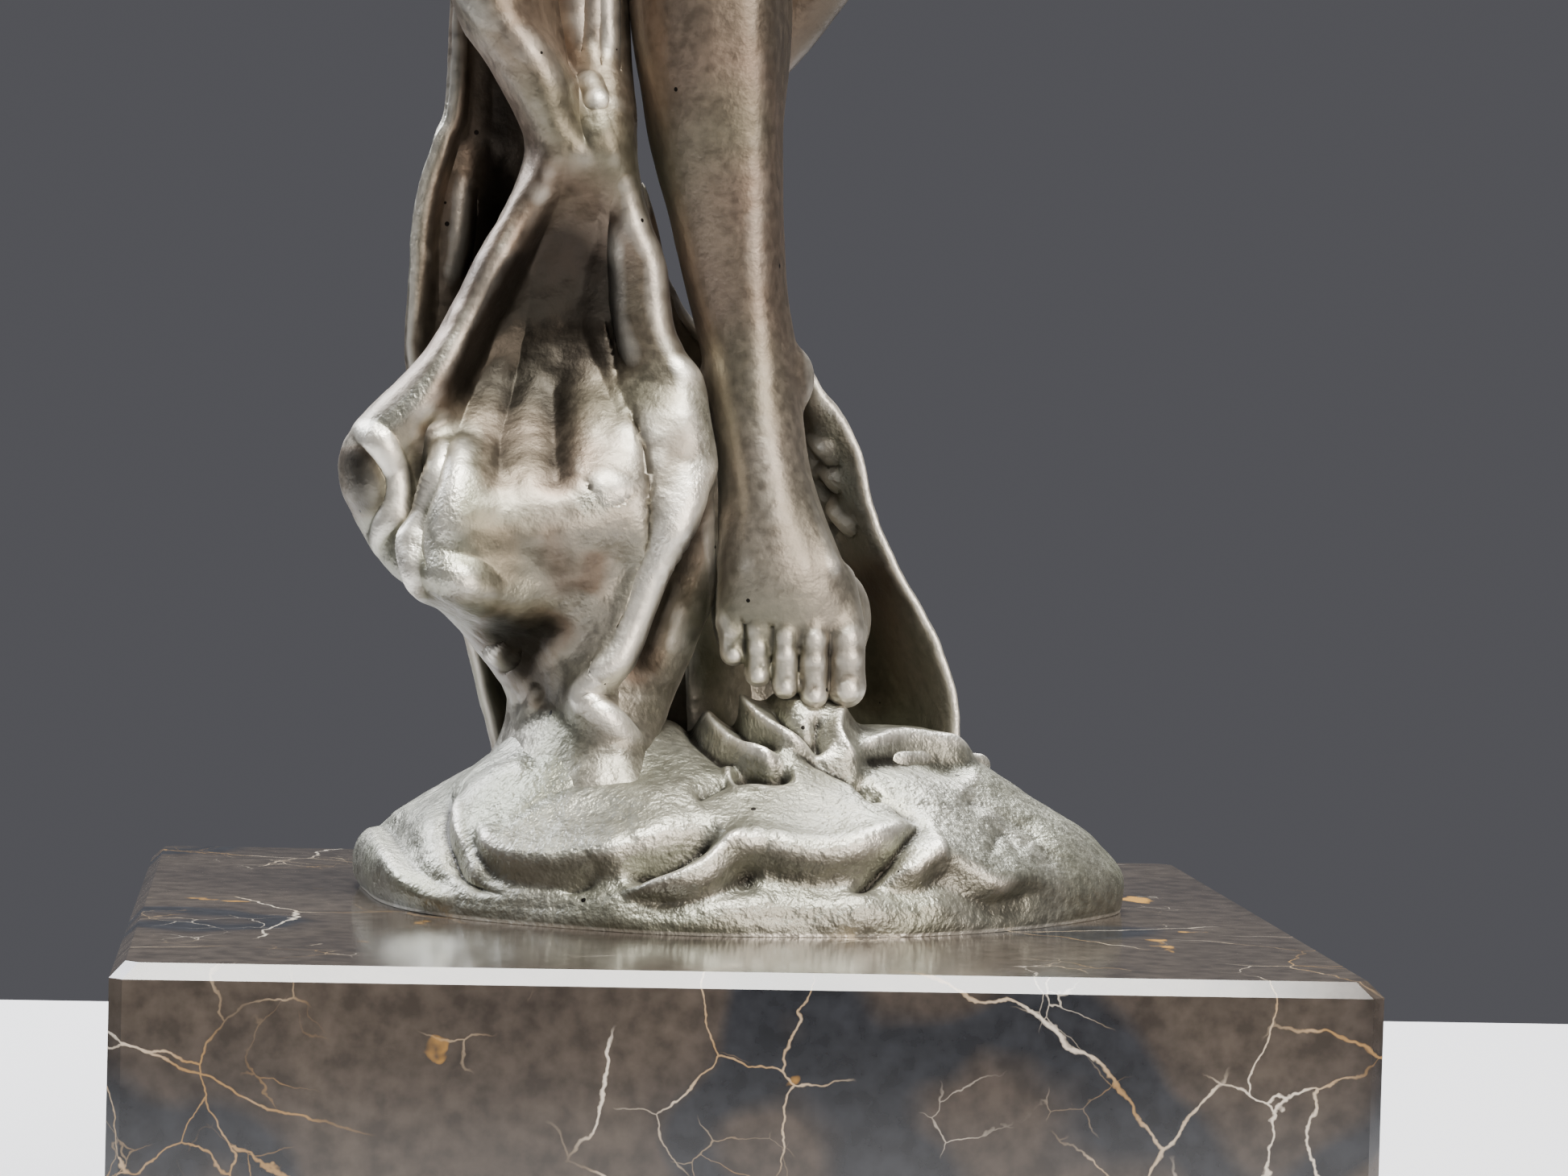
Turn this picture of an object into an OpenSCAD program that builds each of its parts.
// Draped dancer: a small cast-bronze statuette on a square marble plinth.
// Millimetres, +Z up. The origin is the middle of the underside, and the dancer faces -Y.

/* [Plinth] */
// Width of the marble plinth, left to right
plinth_w = 100; // [90:1:120]
// Depth of the marble plinth, front to back
plinth_d = 100; // [90:1:120]
// Height of the marble block alone
plinth_h = 38.5; // [34:0.5:44]
// Size of the polished chamfer round the top and bottom faces
edge_chamfer = 1.2; // [0.6:0.1:2]
// Size of the chamfer on the four upright edges
corner_chamfer = 1.8; // [0.8:0.1:3]
// Thickness of the felt under the plinth
felt_t = 1.5; // [1:0.1:2]

/* [Fixings] */
// Nominal diameter of the stud that clamps bronze to marble
stud_d = 6; // [5:0.5:8]
// Diameter of the clearance hole through the marble
stud_hole_d = 7; // [6.5:0.5:9]
// Diameter of the recess that hides the nut and washer
recess_d = 26; // [24:1:32]
// Depth of the recess, from the underside of the marble
recess_h = 12; // [11:1:14]
// Diameter of the pin that stops the bronze turning on the marble
turn_pin_d = 3; // [2:0.5:4]
// Diameter of the dowels inside the brazed joints of the figure
dowel_d = 3; // [2:0.5:3.5]

/* [Bronze] */
// Wall of the cast ground mound
mound_wall = 3.5; // [3:0.5:4]
// Thickness of the cast cloth
cloth_t = 2; // [1.6:0.1:2.4]

/* [Hidden] */

$fn = 48;
hair_gap = 0.05;                     // clearance round a dowel
plinth_top = felt_t + plinth_h;
figure_base = 40;                    // the figure's own heights are given for a plinth top at 40
figure_lift = plinth_top - figure_base;
stud_top = plinth_top + 8;           // the stud's end inside the mound's boss
washer_t = 1.6;
washer_d = 20;
nut_af = 10;                         // across flats
nut_h = 5;
recess_top = felt_t + recess_h;
turn_pin_x = 15;
turn_pin_h = 12;
bronze = [0.30, 0.27, 0.21];
marble = [0.30, 0.25, 0.22];
steel = [0.62, 0.62, 0.60];
SIDES = 16;                          // facets round a limb

// ---------- curves ----------
function unit(v) = v / norm(v);
function held(list, i) = list[max(0, min(len(list) - 1, i))];
function spline(a, b, c, d, t) =
    0.5 * (2 * b + (c - a) * t + (2 * a - 5 * b + 4 * c - d) * t * t + (3 * b - a - 3 * c + d) * t * t * t);
// The point at s along a Catmull-Rom curve through the list; s counts list entries.
function along(list, s) =
    let (i = min(floor(s), len(list) - 2), t = s - i)
    spline(held(list, i - 1), held(list, i), held(list, i + 1), held(list, i + 2), t);
function resampled(list, n) = [for (k = [0:n]) along(list, k * (len(list) - 1) / n)];
function place(s) = [s[0], s[1], s[2]];

// ---------- solids made from stations ----------
// One limb: stations of [x, y, z, half width, half depth]; forward says which way its front faces.
module limb(stations, rings, forward = [0, -1, 0]) {
    path = resampled(stations, rings);
    points = [for (i = [0:rings])
        let (t = unit(place(held(path, i + 1)) - place(held(path, i - 1))),
             side = unit(cross(t, forward)),
             front = cross(side, t))
        for (j = [0:SIDES - 1])
            place(path[i]) + path[i][3] * cos(360 * j / SIDES) * side + path[i][4] * sin(360 * j / SIDES) * front];
    walls = [for (i = [0:rings - 1], j = [0:SIDES - 1])
        let (k = (j + 1) % SIDES, a = i * SIDES)
        each [[a + j, a + k, a + SIDES + k], [a + j, a + SIDES + k, a + SIDES + j]]];
    foot = [[for (j = [SIDES - 1:-1:0]) j]];
    top = [[for (j = [0:SIDES - 1]) rings * SIDES + j]];
    polyhedron(points, concat(walls, foot, top));
}

// A sheet of cast cloth: a net of rows of points, smoothed both ways and given a thickness.
module cloth(net, rows, columns, thick = cloth_t) {
    across = [for (row = net) resampled(row, columns)];
    grid = [for (i = [0:rows])
        [for (j = [0:columns]) along([for (row = across) row[j]], i * (len(net) - 1) / rows)]];
    normals = [for (i = [0:rows]) [for (j = [0:columns])
        unit(cross(held(grid, i + 1)[j] - held(grid, i - 1)[j],
                   held(grid[i], j + 1) - held(grid[i], j - 1)))]];
    n = columns + 1;
    half = (rows + 1) * n;
    points = [for (side = [-0.5, 0.5], i = [0:rows], j = [0:columns]) grid[i][j] + side * thick * normals[i][j]];
    skins = [for (i = [0:rows - 1], j = [0:columns - 1]) let (a = i * n + j)
        each [[a, a + n + 1, a + 1], [a, a + n, a + n + 1],
              [half + a, half + a + 1, half + a + n + 1], [half + a, half + a + n + 1, half + a + n]]];
    rim = concat([for (j = [0:columns - 1]) j],
                 [for (i = [0:rows - 1]) i * n + columns],
                 [for (j = [columns:-1:1]) rows * n + j],
                 [for (i = [rows:-1:1]) i * n]);
    walls = [for (k = [0:len(rim) - 1]) let (a = rim[k], b = rim[(k + 1) % len(rim)])
        each [[a, b, half + a], [b, half + b, half + a]]];
    polyhedron(points, concat(skins, walls));
}

// Brings a casting's pieces together as one continuous skin; the size of zero keeps it as it is.
module casting() {
    color(bronze) translate([0, 0, figure_lift]) resize([0, 0, 0]) children();
}

// A dowel between two points, or the hole for it when grown.
module dowel(pin, grow = 0) {
    v = pin[1] - pin[0];
    translate(pin[0])
        rotate([0, acos(v[2] / norm(v)), atan2(v[1], v[0])])
            cylinder(d = dowel_d + 2 * grow, h = norm(v), $fn = 32);
}

// ---------- dowels inside the brazed joints: the two ends of each ----------
toe_pin = [[7.5, -4.5, 49], [6.6, -3.6, 65]];
standing_hip_pin = [[-4.6, 0.6, 184], [-2.6, 1, 198]];
raised_hip_pin = [[19, -7, 189], [9, -1, 200]];
neck_pin = [[4.4, 1.5, 262], [4.8, 1.5, 274]];
right_shoulder_pin = [[-15.5, 1.5, 256], [-5.5, 1.5, 259]];
left_shoulder_pin = [[24, 1.5, 265], [14, 1.5, 260]];

module hole(pin) {
    dowel(pin, hair_gap);
}

module steel_dowel(pin) {
    color(steel) translate([0, 0, figure_lift]) dowel(pin);
}

// ---------- plinth and fixings ----------
module chamfered_square(w, d) {
    offset(delta = corner_chamfer, chamfer = true)
        square([w - 2 * corner_chamfer, d - 2 * corner_chamfer], center = true);
}

module chamfered_block(w, d, h) {
    hull() {
        translate([0, 0, edge_chamfer]) linear_extrude(h - 2 * edge_chamfer) chamfered_square(w, d);
        linear_extrude(h) chamfered_square(w - 2 * edge_chamfer, d - 2 * edge_chamfer);
    }
}

module marble_plinth() {
    color(marble) translate([0, 0, felt_t]) difference() {
        chamfered_block(plinth_w, plinth_d, plinth_h);
        translate([0, 0, -1]) cylinder(d = stud_hole_d, h = plinth_h + 2);
        translate([0, 0, -1]) cylinder(d = recess_d, h = recess_h + 1);
        translate([turn_pin_x, 0, plinth_h - turn_pin_h / 2]) cylinder(d = turn_pin_d + 2 * hair_gap, h = turn_pin_h);
    }
}

module base_felt() {
    felt_inset = 3;
    color("darkgreen") linear_extrude(felt_t)
        square([plinth_w - 2 * felt_inset, plinth_d - 2 * felt_inset], center = true);
}

module mounting_stud() {
    color(steel) translate([0, 0, felt_t + 2]) cylinder(d = stud_d, h = stud_top - felt_t - 2);
}

module plinth_washer() {
    color(steel) translate([0, 0, recess_top - washer_t]) difference() {
        cylinder(d = washer_d, h = washer_t);
        translate([0, 0, -1]) cylinder(d = stud_d + 0.6, h = washer_t + 2);
    }
}

module plinth_nut() {
    color(steel) translate([0, 0, recess_top - washer_t - nut_h]) difference() {
        cylinder(r = nut_af / sqrt(3), h = nut_h, $fn = 6);
        translate([0, 0, -1]) cylinder(d = stud_d + 2 * hair_gap, h = nut_h + 2);
    }
}

module turn_pin() {
    color(steel) translate([turn_pin_x, 0, plinth_top - turn_pin_h / 2]) cylinder(d = turn_pin_d, h = turn_pin_h - 1);
}

// ---------- ground ----------
// The mound's outline on the marble, and how far it draws in towards its crown at each height.
mound_outline = [[36.5, 0], [28, -12.5], [17, -21], [6.5, -23.3], [-4, -23.5], [-13.5, -19.5], [-22.8, -12.8],
    [-28, -4], [-30, 7], [-30, 18], [-23, 26], [-10, 28.5], [5, 28], [19, 26], [30, 18], [36, 9]];
mound_crown = [3, 2];
mound_profile = [[0, 1], [3.5, 1], [5.6, 0.95], [7.5, 0.88], [10, 0.76], [12, 0.63], [14, 0.47], [15.3, 0.3], [16, 0.12]];
MOUND_SIDES = 64;

function turn(list, i) = list[(i + len(list)) % len(list)];
function round_outline(j) =
    let (s = j * len(mound_outline) / MOUND_SIDES, i = floor(s), o = mound_outline)
    spline(turn(o, i - 1), turn(o, i), turn(o, i + 1), turn(o, i + 2), s - i);

module mound_body(wall = 0) {
    shrink = 1 - wall / 26;
    rings = [for (r = mound_profile) [for (j = [0:MOUND_SIDES - 1])
        let (p = mound_crown + (round_outline(j) - mound_crown) * r[1] * shrink)
        [p[0], p[1], plinth_top + r[0] - wall]]];
    n = MOUND_SIDES;
    last = len(rings) - 1;
    walls = [for (i = [0:last - 1], j = [0:n - 1]) let (k = (j + 1) % n, a = i * n)
        each [[a + j, a + k, a + n + k], [a + j, a + n + k, a + n + j]]];
    polyhedron([for (r = rings) each r],
        concat(walls, [[for (j = [n - 1:-1:0]) j]], [[for (j = [0:n - 1]) last * n + j]]));
}

module ground_mound() {
    boss_r = 6;
    pad_r = 4.5;
    bore_h = stud_top - plinth_top;
    color(bronze) difference() {
        resize([0, 0, 0]) difference() {
            mound_body();
            difference() {
                mound_body(mound_wall);
                translate([0, 0, plinth_top - 5]) cylinder(r = boss_r, h = 20);
                translate([turn_pin_x, 0, plinth_top - 5]) cylinder(r = pad_r, h = 20);
                translate([toe_pin[0][0], toe_pin[0][1], plinth_top + 6]) cylinder(r = pad_r, h = 14);
            }
            translate([0, 0, figure_lift]) hole(toe_pin);
        }
        translate([0, 0, plinth_top - 1]) cylinder(d = stud_d + 2 * hair_gap, h = bore_h + 1.5);
        translate([turn_pin_x, 0, plinth_top - 1]) cylinder(d = turn_pin_d + 2 * hair_gap, h = turn_pin_h / 2 + 1);
    }
}

// ---------- cloth: rows run down, points run from its outer edge to its inner one ----------
fall_front_net = [
    [[-33, -9, 186], [-32, -12, 186], [-29, -13, 186], [-26, -11, 186]],
    [[-32, -5, 170], [-29, -10, 168], [-24, -10, 168], [-20, -5, 168]],
    [[-27, 2, 148], [-24, -5, 146], [-18, -5, 144], [-13, 1, 144]],
    [[-24, 4, 126], [-20, -3, 124], [-14, -2, 122], [-9, 4, 122]],
    [[-19, 4, 110], [-16, -1, 109], [-12, -1, 108], [-8.5, 4, 108]],
    [[-19, 2, 99], [-15, -4, 98], [-11, -3, 99], [-7, 4, 100]],
    [[-25, 1, 87], [-18, -6, 86], [-11, -4, 88], [-4, 4, 89]],
    [[-32.5, 1, 78], [-22, -8, 76], [-11, -5, 77], [-1, 3, 79]],
    [[-28, 1, 69], [-20, -9, 66], [-10, -7, 67], [0, 0, 68]],
    [[-20, 4, 60], [-15, -6, 57], [-8, -8, 57], [-1, -4, 58]],
    [[-15, 6, 52], [-12, -5, 50], [-7, -8, 50], [-2, -6, 51]]];
fall_back_net = [
    [[-29, -6, 182], [-27, -5, 182], [-25, -6, 182], [-24, -8, 182]],
    [[-28, 2, 162], [-25, 3, 161], [-21, 2, 160], [-18, -1, 160]],
    [[-25, 8, 138], [-22, 10, 137], [-17, 8, 136], [-13, 4, 136]],
    [[-24, 11, 119], [-20, 14, 118], [-15, 12, 117], [-10, 7, 116]],
    [[-27, 11, 100], [-21, 15, 98], [-15, 13, 96], [-8, 9, 96]],
    [[-27, 11, 86], [-21, 16, 84], [-14, 14, 82], [-6, 10, 80]],
    [[-23, 12, 68], [-18, 17, 66], [-11, 16, 64], [-3, 12, 64]],
    [[-19, 13, 51], [-14, 18, 50], [-8, 17, 50], [-1, 13, 50]]];
rear_wrap_net = [
    [[-6, 7, 96], [-2, 9, 89], [3, 10, 87], [8, 8, 87]],
    [[-5, 8, 88], [0, 11, 82], [6, 12, 80], [13, 7, 78.5]],
    [[-3, 9, 78], [2, 13, 74], [9, 13, 71], [17, 6, 70]],
    [[-1, 10, 66], [4, 14, 64], [12, 14, 62], [21, 5, 61]],
    [[0, 11, 52], [6, 15, 51], [14, 15, 50], [22, 5, 50.5]]];

// The front fall is cut to fit the hand that holds it, the leg and the mound.
module cloth_fall_front() {
    casting() difference() {
        cloth(fall_front_net, 40, 12);
        whole_right_arm();
        whole_standing_leg();
        mound_under_cloth();
    }
}

module cloth_fall_back() {
    casting() difference() {
        cloth(fall_back_net, 28, 12);
        cloth(fall_front_net, 40, 12);
        whole_right_arm();
        mound_under_cloth();
    }
}

module cloth_rear_wrap() {
    casting() difference() {
        cloth(rear_wrap_net, 16, 12);
        cloth(fall_front_net, 40, 12);
        cloth(fall_back_net, 28, 12);
        whole_standing_leg();
        mound_under_cloth();
    }
}

module mound_under_cloth() { translate([0, 0, -figure_lift]) mound_body(); }

// ---------- figure: stations of [x, y, z, half width, half depth] ----------
standing_leg_stations = [
    [9, -5.6, 57.8, 2.2, 1.2], [7.2, -5.6, 60.5, 5.6, 2.2], [6.3, -5.2, 65, 6.2, 3], [5.4, -4.2, 70, 5.6, 3.8],
    [3.9, -1.4, 77.5, 4.1, 5.6], [2.9, 1.2, 84.5, 4.1, 7], [2.2, 1.2, 90, 4.2, 5.4], [0.1, 1, 100.5, 5, 5.2],
    [-1.2, 1.8, 110, 6.2, 6.9], [-1.8, 2.2, 119, 6.6, 7.6], [-2.8, 1.8, 129, 6.3, 7], [-3.9, 0.2, 142, 5.9, 6.4],
    [-4.6, -0.2, 150, 6.6, 7.2], [-5.2, 0.4, 165, 8.2, 8.8], [-5, 0.6, 182, 9.6, 10.4], [-3.6, 0.8, 196, 9.2, 10.8]];
raised_shin_stations = [
    [-4, 12.5, 105.5, 2, 1.4], [-1, 12.6, 109.5, 4.2, 2.4], [2.4, 12.8, 115, 4, 3.6], [8, 12.4, 123, 3.9, 4.8],
    [12, 10, 128, 4.1, 4.2], [20, 1, 138, 6, 6.2], [26, -5, 145, 6.6, 7], [35, -16, 153, 6.1, 6.4], [41, -23, 157, 5.4, 5.6]];
raised_thigh_stations = [
    [42, -25, 154, 4.6, 4.6], [40, -22.5, 160, 6.2, 6.4], [34, -17, 167, 7, 7.4], [25, -10, 178, 8.6, 9.2],
    [15, -3, 190, 10, 10.4], [9, 0, 198, 9.6, 10.2]];
torso_stations = [
    [3, 1, 186, 9, 8], [3, 1.4, 192, 16.6, 11.8], [3.2, 1.2, 203, 17, 11.6], [3.6, 0.6, 214, 13, 9.4],
    [3.8, 0.4, 223, 11.2, 8.4], [4, -0.4, 234, 12.8, 9.6], [4.2, -0.6, 246, 14.6, 10.6], [4.3, 0.6, 257, 14.4, 8.6],
    [4.4, 1.4, 263, 10, 6.4], [4.5, 1.6, 267, 5, 4.8]];
head_stations = [
    [4.5, 1.6, 265, 4.6, 4.6], [4.7, 1.2, 272, 4.2, 4.4], [5, -0.8, 277.5, 5, 7], [5.2, -1.2, 283, 7.2, 9.6],
    [5.4, -0.4, 290, 9.2, 11.4], [5.6, 0.6, 298, 9.8, 12.4], [5.8, 1.6, 304, 8.4, 10.6], [5.9, 2, 309, 3, 4]];
hair_knot_stations = [[5.5, 10, 296, 3, 3], [5.6, 13.5, 297, 5.6, 5.4], [5.7, 17, 298, 5.4, 5.2], [5.8, 19.5, 298.6, 2, 2]];
right_arm_stations = [
    [-6.4, 1.5, 260, 5, 6], [-13, 1.6, 258, 5.6, 6.2], [-18, 2, 249, 4.9, 5.4], [-25, 3, 233, 4.4, 4.6],
    [-29, 3, 223, 3.9, 4], [-31, -0.5, 212, 4, 4.2], [-31.5, -5, 200, 3, 3], [-31, -8, 192, 2.5, 2.9],
    [-30, -10, 185, 3.6, 3.4], [-29.5, -10.4, 180, 3, 2.8]];
left_arm_stations = [
    [15, 1.5, 261, 5, 6], [21, 1.6, 264, 5.6, 6.2], [28, 1, 272, 4.9, 5.2], [36, -0.5, 287, 4.3, 4.5],
    [38, -1.5, 297, 3.8, 4], [36.5, -3, 307, 3.9, 4], [29, -5, 321, 2.9, 2.9], [24, -6, 328, 2.4, 2.6],
    [18, -7, 334, 3.4, 2], [11, -7.4, 338, 2.4, 1.4], [7, -7.4, 339.5, 1, 0.8]];

module whole_standing_leg() { limb(standing_leg_stations, 48); }
module whole_right_arm() { limb(right_arm_stations, 40); }
module whole_torso() { limb(torso_stations, 36); }

module standing_leg() {
    casting() difference() {
        whole_standing_leg();
        hole(toe_pin);
        hole(standing_hip_pin);
        whole_torso();
        mound_under_cloth();
    }
}

module raised_leg() {
    casting() difference() {
        union() {
            limb(raised_shin_stations, 30);
            limb(raised_thigh_stations, 20);
        }
        hole(raised_hip_pin);
        whole_torso();
        whole_standing_leg();
    }
}

// The skirt: a wrapped sheet that flares from the waist, its hem lifted over the raised thigh.
skirt_lift = [0.7, -0.7];
function skirt_point(a, t) =
    let (lift = max(0, cos(a) * skirt_lift[0] + sin(a) * skirt_lift[1]),
         r = 9.6 + 15 * pow(t, 0.8) + t * 1.6 * sin(9 * a) + a / 220,
         z = 221 - (40 - 16 * lift * lift) * t)
    [3.4 + 1.18 * r * cos(a), 0.8 + r * sin(a), z];
skirt_net = [for (t = [0:0.2:1]) [for (a = [-100:15:275]) skirt_point(a, t)]];

module tunic_torso() {
    casting() difference() {
        union() {
            whole_torso();
            cloth(skirt_net, 12, 75, 1.6);
        }
        hole(standing_hip_pin);
        hole(raised_hip_pin);
        hole(neck_pin);
        hole(right_shoulder_pin);
        hole(left_shoulder_pin);
    }
}

module head() {
    casting() difference() {
        union() {
            limb(head_stations, 28);
            limb(hair_knot_stations, 12, [0, 0, 1]);
        }
        whole_torso();
        hole(neck_pin);
    }
}

module arm(stations, pin) {
    casting() difference() {
        limb(stations, 40);
        whole_torso();
        hole(pin);
    }
}

module right_arm() { arm(right_arm_stations, right_shoulder_pin); }
module left_arm() { arm(left_arm_stations, left_shoulder_pin); }

module toe_dowel() { steel_dowel(toe_pin); }
module standing_hip_dowel() { steel_dowel(standing_hip_pin); }
module raised_hip_dowel() { steel_dowel(raised_hip_pin); }
module neck_dowel() { steel_dowel(neck_pin); }
module right_shoulder_dowel() { steel_dowel(right_shoulder_pin); }
module left_shoulder_dowel() { steel_dowel(left_shoulder_pin); }

marble_plinth();
base_felt();
mounting_stud();
plinth_washer();
plinth_nut();
turn_pin();
ground_mound();
cloth_fall_front();
cloth_fall_back();
cloth_rear_wrap();
standing_leg();
raised_leg();
tunic_torso();
head();
right_arm();
left_arm();
toe_dowel();
standing_hip_dowel();
raised_hip_dowel();
neck_dowel();
right_shoulder_dowel();
left_shoulder_dowel();
